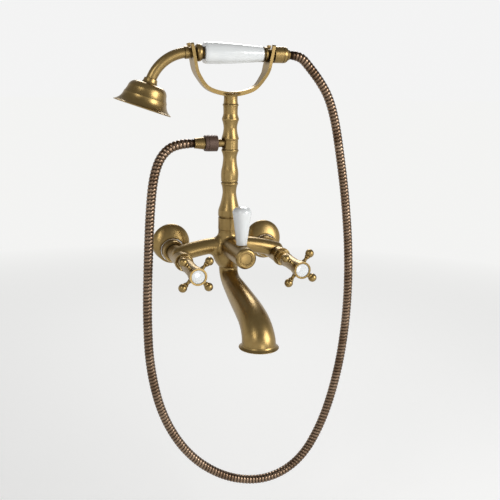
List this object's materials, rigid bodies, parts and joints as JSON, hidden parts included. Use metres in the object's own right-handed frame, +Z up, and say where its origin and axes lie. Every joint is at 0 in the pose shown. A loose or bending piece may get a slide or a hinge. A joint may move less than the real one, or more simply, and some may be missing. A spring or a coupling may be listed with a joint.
{
  "type": "bath shower mixer",
  "caption": "Wall-mounted bath and shower mixer in aged brass with cross handles, a diverter lever, a swivel spout, and a telephone handset on a ribbed hose.",
  "frame": {"origin": "midway between the two wall inlets, on the wall face", "axes": "+X runs right along the wall seen from the room, +Y goes into the wall, +Z is up"},
  "size_m": [0.3752, 0.2563, 0.6983],
  "materials": {
    "aged_brass": "aged and brushed",
    "plain_brass": "machined",
    "screw_steel": "machined",
    "white_ceramic": "glossy white glaze",
    "disc_ceramic": "lapped",
    "seal_rubber": "moulded",
    "hose_metal": "aged interlocked strip"
  },
  "bodies": {
    "mixer": {"wall_flange_left": "aged_brass", "wall_flange_right": "aged_brass", "eccentric_union_left": "plain_brass", "eccentric_union_right": "plain_brass", "union_nut_left": "aged_brass", "union_nut_right": "aged_brass", "inlet_tailpiece_left": "plain_brass", "inlet_tailpiece_right": "plain_brass", "union_washers": "seal_rubber", "mixer_body": "aged_brass", "headwork_left": "plain_brass", "headwork_right": "plain_brass", "fixed_disc_left": "disc_ceramic", "fixed_disc_right": "disc_ceramic", "valve_seat_seals": "seal_rubber", "diverter_cartridge": "aged_brass", "diverter_fixed_disc": "disc_ceramic", "spout_lock_screw": "screw_steel", "riser_collar": "aged_brass", "riser_column": "aged_brass", "riser_washer": "seal_rubber", "cradle": "aged_brass", "cradle_stud": "plain_brass", "hose_outlet_nipple": "aged_brass", "hose_nut_outlet": "aged_brass", "hose_washer_outlet": "seal_rubber", "hose_sleeve_outlet": "aged_brass", "ribbed_hose": "hose_metal"},
    "left_handle": {"cross_handle_left": "aged_brass", "handle_screw_left": "screw_steel", "index_disc_left": "white_ceramic", "spindle_left": "plain_brass", "moving_disc_left": "disc_ceramic"},
    "right_handle": {"cross_handle_right": "aged_brass", "handle_screw_right": "screw_steel", "index_disc_right": "white_ceramic", "spindle_right": "plain_brass", "moving_disc_right": "disc_ceramic"},
    "diverter": {"diverter_drum": "aged_brass", "diverter_cap": "aged_brass", "diverter_screw": "screw_steel", "diverter_spindle": "plain_brass", "diverter_moving_disc": "disc_ceramic", "lever_stud": "screw_steel", "diverter_lever": "white_ceramic"},
    "spout": {"spout": "aged_brass", "spout_o_rings": "seal_rubber"},
    "handset": {"handset_core": "plain_brass", "handset_grip": "white_ceramic", "front_ferrule": "aged_brass", "handset_tail": "aged_brass", "handset_arm": "aged_brass", "arm_collar": "aged_brass", "rose_bell": "aged_brass", "spray_plate": "plain_brass", "hose_nut_handset": "aged_brass", "hose_washer_handset": "seal_rubber", "hose_sleeve_handset": "aged_brass"}
  },
  "joints": [
    {"name": "left_handle_turn", "type": "hinge", "parent": "mixer", "child": "left_handle", "pos_m": [-0.075, 0, -0.009], "axis": [0, -1, 0], "range_deg": [0, 90]},
    {"name": "right_handle_turn", "type": "hinge", "parent": "mixer", "child": "right_handle", "pos_m": [0.075, 0, -0.009], "axis": [0, -1, 0], "range_deg": [-90, 0]},
    {"name": "diverter_turn", "type": "hinge", "parent": "mixer", "child": "diverter", "pos_m": [0, 0, 0.0055], "axis": [0, 1, 0], "range_deg": [0, 60]},
    {"name": "spout_swivel", "type": "hinge", "parent": "mixer", "child": "spout", "pos_m": [0, -0.063, 0], "axis": [0, 0, 1], "range_deg": [-40, 40]},
    {"name": "handset_lift", "type": "slide", "parent": "mixer", "child": "handset", "axis": [0, 0, 1], "range_m": [0, 0.06], "deforming": ["ribbed_hose"]}
  ]
}
